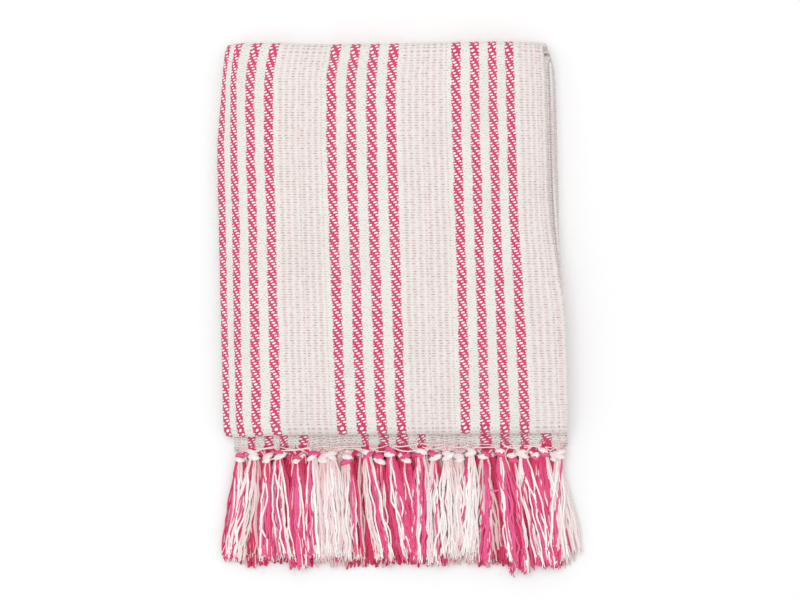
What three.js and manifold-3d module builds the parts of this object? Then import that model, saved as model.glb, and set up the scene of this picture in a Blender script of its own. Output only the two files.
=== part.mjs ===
// A cotton throw blanket, woven in one piece and knotted into tassels at both ends. It is folded
// in half twice across its width and then twice along its length, and lies on a flat surface.
//
// Every piece is first laid out flat, on the cloth before it is folded. A flat point has three
// coordinates, in millimetres: u across the cloth's width, v along its length, and h, its height
// over the cloth's middle layer. foldCloth() folds such a point, and settle() then lets the
// stack sag as soft cloth does. In the result X points right, Y points to the back and Z up, and
// the fringe lies at the front.

import * as THREE from "three";
import { mergeVertices } from "three/addons/utils/BufferGeometryUtils.js";
import Module from "manifold-3d";

const wasm = await Module();
wasm.setup();
const { smoothstep } = THREE.MathUtils;

// Cloth
const CLOTH_WIDTH = 1300;
const WOVEN_LENGTH = 1500;
const CLOTH_THICK = 2;
const END_STRIP = 8;
const PARTING = 0.3;
const PANEL_LENGTH = WOVEN_LENGTH - 2 * (END_STRIP + PARTING);

// Air left between the four layers of one slab, and between the four slabs of the stack
const LAYER_GAP = 0.5;
const SLAB_GAP = 0.8;
const LAYER_PITCH = CLOTH_THICK + LAYER_GAP;
const SLAB_THICK = 4 * CLOTH_THICK + 3 * LAYER_GAP;
const SLAB_MIDDLE = 1.5 * LAYER_PITCH;
const SLAB_PITCH = SLAB_THICK + SLAB_GAP;
const STACK_HEIGHT = 4 * SLAB_THICK + 3 * SLAB_GAP;

// The first two folds, seen from the front. A run is one flat layer, and from and to are places
// right of the stack's middle. The last run has no "to": the cloth's width ends it.
const ACROSS_RUNS = [
  { layer: "under", level: 0, from: 163, to: -158.5, turnSteps: 7 },
  { layer: "face", level: 3, from: -158.5, to: 161, turnSteps: 4 },
  { layer: "lining", level: 2, from: 161, to: -158.5, turnSteps: 4 },
  { layer: "inner", level: 1, from: -158.5 },
];
const ACROSS_STATIONS = [-152, -136, -118, -98, -20, 60, 135];

// The last two folds, seen from the left. from and to are places in front of the stack's middle.
// A shoulder is a turn's radius where the fold has a flat back between two rounded edges.
const ALONG_RUNS = [
  { slab: "under", level: 0, from: 190.5, to: -174.2, shoulder: 7.75, turnSteps: 7 },
  { slab: "top", level: 3, from: -174.2, to: 176.8, turnSteps: 5 },
  { slab: "third", level: 2, from: 176.8, to: -165, turnSteps: 4 },
  { slab: "second", level: 1, from: -165 },
];
const ALONG_STATIONS = [-155, 0, 145, 168];

// How the stack sags at its edges. keep is the share of its height left at an edge, and reach is
// how far the sag runs in from it.
const SAG = {
  right: { keep: 0.8, reach: 16 },
  front: { keep: 0.78, reach: 22 },
  back: { keep: 0.88, reach: 14 },
};
// The left side is a soft roll: from this far in, the top slab slopes down over the lower ones
const LEFT_ROLL = { width: 62, steepest: 0.7 };
const TOP_SLAB_BOTTOM = 3 * SLAB_PITCH;
const HALF_WIDTH = -ACROSS_RUNS[0].to + SLAB_MIDDLE + CLOTH_THICK / 2;
const HALF_DEPTH = ALONG_RUNS[1].to + SLAB_PITCH / 2 + SLAB_THICK / 2;
// The share of its height that the fringe keeps at its tips, this far in front of the stack
const FRINGE_KEEP = 0.5;
const FRINGE_REACH = 130;
// Long low waves in the top, as a share of the height, and their lengths
const SWELL = { share: 0.01, across: 210, along: 260 };

// How far the stack has shifted sideways from a true rectangle. Slopes are in mm for each mm.
const LEAN = 0.0257;
const BACK_NARROWING = { slope: 0.02, towards: 85, from: 140 };
// At the right the stack lies wider in front, and its top is drawn in behind
const RIGHT_SIDE = { wider: 5, drawnIn: 4, reach: 30, front: -90, back: 60 };
// The lower slabs are drawn in under the left roll, fully below one share of the stack's height
const TUCKED_UNDER_LEFT = { shift: 12, reach: 30, fullBelow: 0.55, noneAbove: 0.85 };
// How far the outermost tips spread past the stack's sides
const FRINGE_SPLAY = 11;

// Tassels, 13 to each of the four layers at each end
const TASSELS_PER_ROW = 13;
const TASSEL_PITCH = 24.4;
const FIRST_TASSEL = -151.4;
const TASSEL_LENGTH = 112;
// Each lock's length and each tassel's place differ by up to this much, either way
const LENGTH_SPREAD = 7;
const PLACE_SPREAD = 1;

// A tassel's head: the warp ends gather from the strip's edge into a knot. at runs from that edge
// towards the tip, half is half the head's width, and up is half its thickness. A fine row is left
// out of the tassels that lie hidden.
const HEAD_PROFILE = [
  { at: -1, half: 5.2, up: 0.5 },
  { at: 3, half: 2.6, up: 1.2, fine: true },
  { at: 7, half: 4.2, up: 2.2 },
  { at: 11.5, half: 4, up: 1.6 },
];
// A lock of yarns comes out of the knot. spread is the share of its way sideways to its tip, and
// width the share of its full width.
const LOCK_PROFILE = [
  { at: 8.5, spread: 0.2, width: 0.2, up: 0.5, down: 0.5 },
  { at: 34, spread: 0.72, width: 0.75, up: 0.9, down: 1, fine: true },
  { at: TASSEL_LENGTH, spread: 1, width: 1, up: 0.7, down: 1 },
];
// The rows of tassels that show, and those that lie hidden under them
const SHOWN_ROW = { locks: 4, tipPitch: 5.8, lockHalf: 2.5, headSides: 6, fine: true };
const HIDDEN_ROW = { locks: 2, tipPitch: 11.6, lockHalf: 5, headSides: 4, fine: false };
const LOCK_SIDES = 3;
// A bar's first corner is turned this far, so that its lowest side lies level
const FIRST_CORNER = { 3: 0, 4: Math.PI / 4, 6: Math.PI / 2 };

const CREAM = 0xf1ebe4;
const PINK = 0xe8a3b8;

// A strip folded back and forth, seen edge on: level runs joined by turns. place(s, h) gives where
// a point lies that is s along the strip's middle line and h from it, towards the strip's face.
function foldedSection(runs, pitch, length) {
  const spans = [];
  let reached = 0;
  const add = (span) => {
    spans.push({ ...span, start: reached });
    reached += span.length;
  };
  runs.forEach((run, i) => {
    const next = runs[i + 1];
    const way = i % 2 ? 1 : -1;
    const height = run.level * pitch;
    const end = next ? run.to : run.from + way * (length - reached);
    add({
      length: Math.abs(end - run.from),
      from: run.from,
      to: end,
      way,
      place: (s, h) => [run.from + way * s, height + way * h],
    });
    if (!next) return;
    const rise = (next.level - run.level) * pitch;
    const up = Math.sign(rise);
    const radius = run.shoulder ?? Math.abs(rise) / 2;
    const quarter = (radius * Math.PI) / 2;
    const upright = Math.abs(rise) - 2 * radius;
    add({
      length: 2 * quarter + upright,
      steps: run.turnSteps,
      place: (s, h) => {
        const first = Math.min(s, quarter) / radius;
        const last = Math.max(s - quarter - upright, 0) / radius;
        const climbed = Math.min(Math.max(s - quarter, 0), upright);
        const angle = first + last;
        const away = way * (last ? radius * Math.cos(last) : radius * Math.sin(first));
        const risen = radius * (1 - Math.cos(first)) + climbed + radius * Math.sin(last);
        return [
          run.to + away - up * h * Math.sin(angle),
          height + up * risen + way * h * Math.cos(angle),
        ];
      },
    });
  });
  const place = (s, h) => {
    const inside = spans.findLast((span) => s >= span.start) ?? spans[0];
    return inside.place(s - inside.start, h);
  };
  return { spans, place, length: reached };
}

// Where a folded section is divided: at its runs' ends, at the stations on them and round its turns
function divisions(section, stations) {
  const marks = [0];
  for (const { start, length, steps, from, to, way } of section.spans) {
    if (steps) {
      for (let i = 1; i <= steps; i++) marks.push(start + (length * i) / steps);
      continue;
    }
    const [low, high] = [Math.min(from, to), Math.max(from, to)];
    const passed = stations.filter((at) => at > low && at < high);
    const onRun = passed.map((at) => start + way * (at - from)).sort((a, b) => a - b);
    marks.push(...onRun, start + length);
  }
  return marks;
}

const across = foldedSection(ACROSS_RUNS, LAYER_PITCH, CLOTH_WIDTH);
const along = foldedSection(ALONG_RUNS, SLAB_PITCH, PANEL_LENGTH);

// A point of a slab, which is the cloth folded across its width and not yet along its length
function foldSlab(x, v, layerHeight) {
  const [forward, height] = along.place(v, layerHeight - SLAB_MIDDLE);
  return [x, -forward, height + SLAB_THICK / 2];
}

function foldCloth(u, v, h) {
  const [x, layerHeight] = across.place(u, h);
  return foldSlab(x, v, layerHeight);
}

// The share of its height that the stack keeps at a distance in from an edge
const kept = (edge, distance) =>
  1 - (1 - edge.keep) * Math.exp(-Math.max(distance, 0) / edge.reach);

// How far the left roll lets a point down
function rolledDown(fromLeft, z) {
  const { width, steepest } = LEFT_ROLL;
  const drop = (steepest * Math.max(width - Math.max(fromLeft, 0), 0) ** 2) / (2 * width);
  return drop * Math.min(z / TOP_SLAB_BOTTOM, 1);
}

function settle([x, y, z]) {
  const inFront = Math.max(-HALF_DEPTH - y, 0);
  const lying = smoothstep(inFront, 0, FRINGE_REACH);
  const waves =
    Math.sin((2 * Math.PI * x) / SWELL.across) + Math.cos((2 * Math.PI * y) / SWELL.along);
  const share =
    kept(SAG.right, HALF_WIDTH - x) *
    kept(SAG.front, y + HALF_DEPTH) *
    kept(SAG.back, HALF_DEPTH - y) *
    (1 - (1 - FRINGE_KEEP / SAG.front.keep) * lying) *
    (1 + SWELL.share * waves);
  const level = z / STACK_HEIGHT;
  const fromLeft = Math.max(x + HALF_WIDTH, 0);
  const [right, narrowing, tucked] = [RIGHT_SIDE, BACK_NARROWING, TUCKED_UNDER_LEFT];
  const topmost = smoothstep(level, tucked.fullBelow, tucked.noneAbove);
  const tuckedLeft = tucked.shift * (1 - topmost) * Math.exp(-fromLeft / tucked.reach);
  const backwards = smoothstep(y, right.front, right.back);
  const outwards = right.wider * (1 - backwards) - right.drawnIn * level * backwards;
  const behind = Math.max(y - narrowing.from, 0) / (HALF_DEPTH - narrowing.from);
  const sideways =
    outwards * Math.exp(-Math.max(HALF_WIDTH - x, 0) / right.reach) +
    tuckedLeft -
    LEAN * y -
    (x - narrowing.towards) * narrowing.slope * behind ** 2 +
    (x / HALF_WIDTH) * FRINGE_SPLAY * lying;
  return [x + sideways, y, (z - rolledDown(fromLeft + tuckedLeft, z)) * share];
}

// Merges a geometry's shared vertices, and moves each by a function of its place
function reshape(geometry, move) {
  const bare = geometry.clone();
  bare.deleteAttribute("normal");
  bare.deleteAttribute("uv");
  const merged = mergeVertices(bare);
  const position = merged.getAttribute("position");
  for (let i = 0; i < position.count; i++) {
    position.setXYZ(i, ...move(position.getX(i), position.getY(i), position.getZ(i)));
  }
  return merged;
}

// A flat rectangle of cloth, divided at the marks us and vs, as it lies in the stack
function foldedSheet(us, vs) {
  const [columns, rows] = [us.length - 1, vs.length - 1];
  const flat = new THREE.BoxGeometry(columns, CLOTH_THICK, rows, columns, 1, rows);
  return reshape(flat, (x, y, z) =>
    settle(foldCloth(us[Math.round(x + columns / 2)], vs[Math.round(z + rows / 2)], y)),
  );
}

function solidOf(geometry) {
  return new wasm.Manifold(
    new wasm.Mesh({
      numProp: 3,
      vertProperties: geometry.getAttribute("position").array,
      triVerts: new Uint32Array(geometry.index.array),
    }),
  );
}

function geometryOf(solid) {
  const { vertProperties, triVerts } = solid.getMesh();
  return new THREE.BufferGeometry()
    .setAttribute("position", new THREE.BufferAttribute(vertProperties, 3))
    .setIndex(new THREE.BufferAttribute(triVerts, 1));
}

// The same numbers each time, from 0 to 1, so that the tassels differ as real ones do
function scatter(...keys) {
  const mixed = keys.reduce((sum, key, i) => sum + (key + 1) * (12.9898 + 65.1 * i), 0);
  const wave = Math.sin(mixed) * 43758.5453;
  return wave - Math.floor(wave);
}

// A bar laid flat through a row of cross sections. Each gives its place along the tassel (at), its
// middle (side), half its width, and how far it reaches up and down from the layer's middle.
function flatBar(sides, rows, toStack) {
  const spans = rows.length - 1;
  const bar = new THREE.CylinderGeometry(1, 1, spans, sides, spans, false, FIRST_CORNER[sides]);
  bar.computeBoundingBox();
  const { min, max } = bar.boundingBox;
  return reshape(bar, (x, y, z) => {
    const { at, side, half, up, down } = rows[Math.round(spans / 2 - y)];
    const height = z > 0 ? (z / max.z) * up : (-z / min.z) * down;
    return toStack(side + (x / max.x) * half, at, height);
  });
}

// One tassel, in solids that the fringe then joins: its knotted head and its locks of yarn
function tassel({ locks, tipPitch, lockHalf, headSides, fine }, onFloor, seed, toStack) {
  const rest = CLOTH_THICK / 2;
  const headRows = HEAD_PROFILE.filter((row) => fine || !row.fine).map((row) => ({
    ...row,
    side: 0,
    down: onFloor ? Math.min(rest, row.up) : row.up,
  }));
  const solids = [solidOf(flatBar(headSides, headRows, toStack))];
  for (let n = 0; n < locks; n++) {
    const longer = (scatter(n, ...seed) - 0.5) * 2 * LENGTH_SPREAD;
    const tip = (n - (locks - 1) / 2) * tipPitch;
    const lockRows = LOCK_PROFILE.filter((row) => fine || !row.fine).map((row) => ({
      at: row.spread === 1 ? row.at + longer : row.at,
      side: tip * row.spread,
      half: lockHalf * row.width,
      up: row.up,
      down: onFloor ? rest : row.down,
    }));
    solids.push(solidOf(flatBar(LOCK_SIDES, lockRows, toStack)));
  }
  return solids;
}

// One end's fringe: the last strip of the weave, with four rows of tassels knotted on it.
// outward is the way along v that leads off the cloth.
function fringe({ edge, outward, isBottom, phaseOfEvenLevels }) {
  const near = edge + outward * PARTING;
  const far = near + outward * END_STRIP;
  const marks = outward > 0 ? [near, far] : [far, near];
  const solids = [solidOf(foldedSheet(divisions(across, ACROSS_STATIONS), marks))];
  // The bottom slab lies face down, so up in the stack is down through its layers
  const upwards = isBottom ? -1 : 1;

  for (const { level } of ACROSS_RUNS) {
    const kind = !isBottom && level >= 2 ? SHOWN_ROW : HIDDEN_ROW;
    const phase = level % 2 === phaseOfEvenLevels ? TASSEL_PITCH / 2 : 0;
    const onFloor = isBottom && level === 3;
    for (let k = 0; k < TASSELS_PER_ROW; k++) {
      const shift = (scatter(level, k, edge) - 0.5) * 2 * PLACE_SPREAD;
      const x = FIRST_TASSEL + phase + k * TASSEL_PITCH + shift;
      const toStack = (side, at, height) =>
        settle(foldSlab(x + side, far + outward * at, level * LAYER_PITCH + upwards * height));
      solids.push(...tassel(kind, onFloor, [level, k, edge], toStack));
    }
  }
  return geometryOf(wasm.Manifold.union(solids));
}

function part(name, geometry, color, roughness) {
  geometry.computeVertexNormals();
  const material = new THREE.MeshStandardMaterial({ color, roughness, metalness: 0 });
  const mesh = new THREE.Mesh(geometry, material);
  mesh.name = name;
  return mesh;
}

const cloth = foldedSheet(divisions(across, ACROSS_STATIONS), divisions(along, ALONG_STATIONS));
const lowerFringe = fringe({ edge: 0, outward: -1, isBottom: true, phaseOfEvenLevels: 0 });
const upperFringe = fringe({ edge: PANEL_LENGTH, outward: 1, isBottom: false, phaseOfEvenLevels: 1 });

const blanket = new THREE.Group();
blanket.add(part("folded_cloth", cloth, CREAM, 0.95));
blanket.add(part("lower_fringe", lowerFringe, PINK, 0.95));
blanket.add(part("upper_fringe", upperFringe, PINK, 0.95));

// The origin lies under the middle of the whole blanket, fringe and all, on the surface it rests on
const middle = new THREE.Box3().setFromObject(blanket).getCenter(new THREE.Vector3());
blanket.position.set(-middle.x, -middle.y, 0);

export default blanket;
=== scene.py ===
"""The looks of a folded cotton throw: striped cloth in sixteen layers, and knotted tassels.

The throw is first laid out flat. A flat point has u across the cloth, v along it, and h, its
height over the cloth's middle layer. fold_cloth() folds such points, and settle() lets the
stack sag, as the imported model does. These sizes are in millimetres, in the stack's own
coordinates: x right, y back, z up. Meshes are made in metres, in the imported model's frame.
"""

import math
from collections import namedtuple

import bpy
import numpy as np
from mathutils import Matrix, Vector


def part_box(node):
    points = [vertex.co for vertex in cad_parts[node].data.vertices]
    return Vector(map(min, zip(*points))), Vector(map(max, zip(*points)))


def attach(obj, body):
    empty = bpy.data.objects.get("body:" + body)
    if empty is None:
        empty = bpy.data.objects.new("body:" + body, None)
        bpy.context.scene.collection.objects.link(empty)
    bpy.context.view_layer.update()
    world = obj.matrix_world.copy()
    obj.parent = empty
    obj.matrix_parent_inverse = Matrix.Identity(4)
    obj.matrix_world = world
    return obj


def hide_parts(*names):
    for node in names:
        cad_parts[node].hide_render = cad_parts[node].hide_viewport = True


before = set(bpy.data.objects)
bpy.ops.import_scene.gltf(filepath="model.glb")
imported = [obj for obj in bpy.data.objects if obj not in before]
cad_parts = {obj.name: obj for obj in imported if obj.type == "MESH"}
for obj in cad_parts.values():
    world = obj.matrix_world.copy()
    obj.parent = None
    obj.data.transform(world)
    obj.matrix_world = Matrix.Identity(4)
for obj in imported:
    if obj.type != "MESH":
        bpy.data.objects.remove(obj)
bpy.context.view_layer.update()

MM = 0.001
MM_IN_METRE = 1000

# The cloth and its folds
CLOTH_WIDTH = 1300
WOVEN_LENGTH = 1500
CLOTH_THICK = 2
END_STRIP = 8.3
PANEL_LENGTH = WOVEN_LENGTH - 2 * END_STRIP
LAYER_GAP = 0.5
SLAB_GAP = 0.8
LAYER_PITCH = CLOTH_THICK + LAYER_GAP
SLAB_THICK = 4 * CLOTH_THICK + 3 * LAYER_GAP
SLAB_MIDDLE = 1.5 * LAYER_PITCH
SLAB_PITCH = SLAB_THICK + SLAB_GAP
STACK_HEIGHT = 4 * SLAB_THICK + 3 * SLAB_GAP

# Each run is one flat layer, from one place to another. The last ends where the cloth does.
ACROSS_RUNS = [
    {"name": "under", "level": 0, "from": 163, "to": -158.5},
    {"name": "face", "level": 3, "from": -158.5, "to": 161},
    {"name": "lining", "level": 2, "from": 161, "to": -158.5},
    {"name": "inner", "level": 1, "from": -158.5},
]
ALONG_RUNS = [
    {"name": "under", "level": 0, "from": 190.5, "to": -174.2, "shoulder": 7.75},
    {"name": "top", "level": 3, "from": -174.2, "to": 176.8},
    {"name": "third", "level": 2, "from": 176.8, "to": -165},
    {"name": "second", "level": 1, "from": -165},
]
HALF_WIDTH = 163.25
HALF_DEPTH = 186.7

# How the stack sags and has shifted
SAG_RIGHT = {"keep": 0.8, "reach": 16}
SAG_FRONT = {"keep": 0.78, "reach": 22}
SAG_BACK = {"keep": 0.88, "reach": 14}
LEFT_ROLL = {"width": 62, "steepest": 0.7}
TOP_SLAB_BOTTOM = 3 * SLAB_PITCH
FRINGE_KEEP = 0.5
FRINGE_REACH = 130
SWELL = {"share": 0.01, "across": 210, "along": 260}
LEAN = 0.0257
BACK_NARROWING = {"slope": 0.02, "towards": 85, "from": 140}
RIGHT_SIDE = {"wider": 5, "drawn_in": 4, "reach": 30, "front": -90, "back": 60}
TUCKED_UNDER_LEFT = {"shift": 12, "reach": 30, "full_below": 0.55, "none_above": 0.85}
FRINGE_SPLAY = 11

# Spacing of the mesh's lines, finer on what shows from above
FINE_SPACING = 4.0
PLAIN_SPACING = 14.0
TURN_STEPS = 10

# How many places each way of the flat cloth are folded to find the stack's middle
MIDDLE_PLACES = 700

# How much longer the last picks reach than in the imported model
LOOSE_END = 1.5


def smoothstep(value, low, high):
    """0 at low and beyond it, 1 at high and beyond, and smooth between."""
    share = np.clip((np.asarray(value, float) - low) / (high - low), 0, 1)
    return share * share * (3 - 2 * share)


def folded_section(runs, pitch, length):
    """A strip folded back and forth, seen edge on: its level runs, joined by turns."""
    spans = []
    reached = 0.0
    for i, run in enumerate(runs):
        follows = runs[i + 1] if i + 1 < len(runs) else None
        way = 1 if i % 2 else -1
        end = run["to"] if follows else run["from"] + way * (length - reached)
        span = {"kind": "run", "start": reached, "way": way, "height": run["level"] * pitch}
        span.update(name=run["name"], begin=run["from"], length=abs(end - run["from"]))
        spans.append(span)
        reached += span["length"]
        if not follows:
            break
        rise = (follows["level"] - run["level"]) * pitch
        radius = run.get("shoulder", abs(rise) / 2)
        upright = abs(rise) - 2 * radius
        turn = {"kind": "turn", "start": reached, "way": way, "height": run["level"] * pitch}
        turn.update(begin=run["to"], up=math.copysign(1, rise), radius=radius, upright=upright)
        turn["length"] = math.pi * radius + upright
        spans.append(turn)
        reached += turn["length"]
    return spans


def place_on_run(span, s, h):
    """Where points lie that are s along a level run and h from its middle line."""
    return span["begin"] + span["way"] * s, span["height"] + span["way"] * h


def place_on_turn(span, s, h):
    """The same on a turn: a quarter circle, an upright where it has one, and a quarter."""
    radius = span["radius"]
    quarter = radius * math.pi / 2
    first = np.minimum(s, quarter) / radius
    last = np.maximum(s - quarter - span["upright"], 0) / radius
    climbed = np.minimum(np.maximum(s - quarter, 0), span["upright"])
    angle = first + last
    bulge = np.where(last > 0, radius * np.cos(last), radius * np.sin(first))
    risen = radius * (1 - np.cos(first)) + climbed + radius * np.sin(last)
    x = span["begin"] + span["way"] * bulge - span["up"] * h * np.sin(angle)
    z = span["height"] + span["up"] * risen + span["way"] * h * np.cos(angle)
    return x, z


def place_in_section(spans, s, h):
    """Where points lie that are s along the strip's middle line and h from it."""
    s, h = np.broadcast_arrays(np.asarray(s, float), np.asarray(h, float))
    x = np.zeros(s.shape)
    z = np.zeros(s.shape)
    for i, span in enumerate(spans):
        low = -np.inf if i == 0 else span["start"]
        high = np.inf if i == len(spans) - 1 else span["start"] + span["length"]
        here = (s >= low) & (s < high)
        place = place_on_run if span["kind"] == "run" else place_on_turn
        x[here], z[here] = place(span, s[here] - span["start"], h[here])
    return x, z


ACROSS = folded_section(ACROSS_RUNS, LAYER_PITCH, CLOTH_WIDTH)
ALONG = folded_section(ALONG_RUNS, SLAB_PITCH, PANEL_LENGTH)

FACE_SPAN = next(span for span in ACROSS if span.get("name") == "face")


def fold_slab(x, v, layer_height):
    """A point of a slab, which is the cloth folded across its width and not yet along it."""
    forward, height = place_in_section(ALONG, v, layer_height - SLAB_MIDDLE)
    return x, -forward, height + SLAB_THICK / 2


def fold_cloth(u, v, h):
    """Where a flat point goes when the cloth is folded across its width, then along it."""
    x, layer_height = place_in_section(ACROSS, u, h)
    return fold_slab(x, v, layer_height)


def fade(distance, reach):
    """1 at an edge, and ever less further in from it."""
    return np.exp(-np.maximum(distance, 0) / reach)


def kept(edge, distance):
    """The share of its height that the stack keeps at a distance in from an edge."""
    return 1 - (1 - edge["keep"]) * fade(distance, edge["reach"])


def rolled_down(from_left, z):
    """How far the soft roll at the left lets a point down."""
    width = LEFT_ROLL["width"]
    drop = LEFT_ROLL["steepest"] * np.maximum(width - np.maximum(from_left, 0), 0) ** 2
    return drop / (2 * width) * np.minimum(z / TOP_SLAB_BOTTOM, 1)


def settle(x, y, z):
    """The stack as it lies: lower at its edges, rolled down at the left, leaning a little."""
    lying = smoothstep(np.maximum(-HALF_DEPTH - y, 0), 0, FRINGE_REACH)
    waves = np.sin(2 * np.pi * x / SWELL["across"]) + np.cos(2 * np.pi * y / SWELL["along"])
    share = (
        kept(SAG_RIGHT, HALF_WIDTH - x)
        * kept(SAG_FRONT, y + HALF_DEPTH)
        * kept(SAG_BACK, HALF_DEPTH - y)
        * (1 - (1 - FRINGE_KEEP / SAG_FRONT["keep"]) * lying)
        * (1 + SWELL["share"] * waves)
    )
    level = z / STACK_HEIGHT
    from_left = np.maximum(x + HALF_WIDTH, 0)
    tucked, right, narrowing = TUCKED_UNDER_LEFT, RIGHT_SIDE, BACK_NARROWING
    topmost = smoothstep(level, tucked["full_below"], tucked["none_above"])
    tucked_left = tucked["shift"] * (1 - topmost) * fade(from_left, tucked["reach"])
    backwards = smoothstep(y, right["front"], right["back"])
    outwards = right["wider"] * (1 - backwards) - right["drawn_in"] * level * backwards
    behind = np.maximum(y - narrowing["from"], 0) / (HALF_DEPTH - narrowing["from"])
    sideways = (
        outwards * fade(HALF_WIDTH - x, right["reach"])
        + tucked_left
        - LEAN * y
        - (x - narrowing["towards"]) * narrowing["slope"] * behind**2
        + (x / HALF_WIDTH) * FRINGE_SPLAY * lying
    )
    return x + sideways, y, (z - rolled_down(from_left + tucked_left, z)) * share


# The finer unevenness of the stack, in millimetres, as the photograph shows it from above.
# Each push moves one side's edge, fades inwards from it, and grows from one place to another,
# between front and back. It moves the whole height, the low layers or only the top slab.
EDGE_PUSHES = [
    {"side": "left", "layers": "all", "right": 7.2, "from": 70, "full": 165, "reach": 18},
    {"side": "right", "layers": "low", "right": 3.6, "from": -40, "full": 60, "reach": 26},
    {"side": "left", "layers": "low", "right": -3.2, "from": -110, "full": -180, "reach": 30},
    {"side": "right", "layers": "top", "right": -5.0, "from": -90, "full": 20, "reach": 24},
    {"side": "right", "layers": "low", "right": -7.0, "from": 162, "full": 190, "reach": 16},
]

# The top slab begins at the first of these shares of the height, and is full at the second
TOP_LAYERS = (0.6, 0.8)

# How far the back and front edges reach out, at places from left to right
BACK_EDGE = {
    "x": [-170, -125, -60, -10, 60, 110, 150, 170],
    "out": [2.0, 1.4, 0, 0.4, 1.8, 2.8, 2.2, 1.0],
}
FRONT_EDGE = {
    "x": [-165, -137, -122, -104, -40, 60, 160],
    "out": [5.2, 4.4, 3.2, 2.6, 2.0, 1.2, 0.6],
}
EDGE_WAVE_REACH = 55
RIPPLES = [
    {"across": 71, "along": 131, "start": 0.9, "share": 0.008},
    {"across": -37, "along": 89, "start": 2.1, "share": 0.007},
    {"across": 53, "along": -47, "start": 4.0, "share": 0.005},
]


def pushed_aside(x, y, level):
    """How far to the right the edges are pushed, at a level from 0 at the floor to 1."""
    layers = {"all": 1, "low": 1 - level, "top": smoothstep(level, *TOP_LAYERS)}
    sideways = 0
    for push in EDGE_PUSHES:
        inwards = HALF_WIDTH + x if push["side"] == "left" else HALF_WIDTH - x
        grown = smoothstep(y, push["from"], push["full"]) * fade(inwards, push["reach"])
        sideways = sideways + push["right"] * grown * layers[push["layers"]]
    return sideways


def drape(x, y, z):
    """The settled stack with its finer unevenness."""
    sideways = pushed_aside(x, y, np.clip(z / STACK_HEIGHT, 0, 1))
    for ripple in RIPPLES:
        turn = 2 * np.pi * (x / ripple["across"] + y / ripple["along"]) + ripple["start"]
        z = z * (1 + ripple["share"] * np.sin(turn))
    near_back = smoothstep(y, HALF_DEPTH - EDGE_WAVE_REACH, HALF_DEPTH)
    near_front = smoothstep(-y, HALF_DEPTH - EDGE_WAVE_REACH, HALF_DEPTH)
    back = near_back * np.interp(x, BACK_EDGE["x"], BACK_EDGE["out"])
    front = near_front * np.interp(x, FRONT_EDGE["x"], FRONT_EDGE["out"])
    sagged_x, sagged_y, sagged_z = settle(x, y, z)
    return sagged_x + sideways, sagged_y + back - front, sagged_z


def stations(spans, length, shown, margin=0.0):
    """Where the cloth's mesh is divided along one way of the flat cloth, most on what shows."""
    marks = [-margin] if margin else []
    for span in spans:
        if span["kind"] == "turn":
            steps = TURN_STEPS
        else:
            spacing = FINE_SPACING if span["name"] == shown else PLAIN_SPACING
            steps = math.ceil(span["length"] / spacing)
        marks.extend(span["start"] + span["length"] * np.arange(steps) / steps)
    marks.append(length)
    if margin:
        marks.append(length + margin)
    return np.array(marks)


def shift_to_frame():
    """From the stack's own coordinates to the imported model's, in millimetres."""
    us = np.linspace(0, CLOTH_WIDTH, MIDDLE_PLACES)
    vs = np.linspace(0, PANEL_LENGTH, MIDDLE_PLACES)
    u, v = np.meshgrid(us, vs)
    x, y, _ = settle(*fold_cloth(u, v, np.zeros(u.shape)))
    low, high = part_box("folded_cloth")
    middle_x = (low.x + high.x) / 2 / MM
    middle_y = (low.y + high.y) / 2 / MM
    return middle_x - (x.min() + x.max()) / 2, middle_y - (y.min() + y.max()) / 2


SHIFT_X, SHIFT_Y = shift_to_frame()


def to_frame(x, y, z):
    """Points in metres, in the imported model's frame, from the stack's own coordinates."""
    return np.stack([(x + SHIFT_X) * MM, (y + SHIFT_Y) * MM, z * MM], axis=-1)


def new_object(name, data):
    made = bpy.data.objects.new(name, data)
    bpy.context.scene.collection.objects.link(made)
    return made


# How the pattern sits on the folded cloth. The cloth is soft, so its stripes have drifted from
# where a straight fold would leave them. The drift is in millimetres to the right, in rows
# along the cloth (v), from the bottom slab over the top one to the second, and across it (u).
DRIFT_U = [333, 345, 362, 380, 441, 499, 561, 615]
DRIFT_ROWS = [
    {"v": 60, "drift": [30.0, 30.0, 31.0, 27.5, 26.0, 22.8, 22.7, 19.6]},
    {"v": 381, "drift": [21.0, 9.0, 11.5, 12.0, 7.6, 6.6, 3.6, 0.0]},
    {"v": 396, "drift": [15.0, 5.6, 7.8, 8.4, 5.4, 5.0, 2.9, -1.2]},
    {"v": 425, "drift": [11.0, 4.2, 4.6, 4.6, 1.6, 2.4, 1.6, -1.6]},
    {"v": 492, "drift": [13.5, 6.7, 4.3, 3.0, 0.1, 1.2, 1.0, -1.6]},
    {"v": 562, "drift": [13.7, 7.4, 4.8, 3.9, 0.3, 1.8, 2.3, -2.0]},
    {"v": 635, "drift": [12.1, 5.6, 4.1, 3.3, 1.5, 2.0, 2.0, -1.7]},
    {"v": 683, "drift": [12.0, 4.9, 4.0, 3.7, 1.7, 2.8, 1.7, -0.8]},
    {"v": 731, "drift": [11.9, 5.2, 3.7, 3.4, 2.7, 2.8, 1.9, 0.0]},
    {"v": 752, "drift": [11.4, 4.9, 2.3, 2.7, 3.0, 3.8, 1.9, 1.1]},
    {"v": 758, "drift": [13.0, 6.6, 3.6, 3.9, 3.6, 4.0, 1.9, 1.1]},
    {"v": 764, "drift": [17.0, 10.5, 6.7, 6.2, 4.2, 4.2, 2.0, 1.0]},
    {"v": 773, "drift": [24.0, 17.5, 13.0, 12.0, 6.0, 4.4, 2.0, 1.0]},
    {"v": 1125, "drift": [30.0, 30.0, 31.0, 27.5, 26.0, 22.8, 22.7, 19.6]},
]


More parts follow.
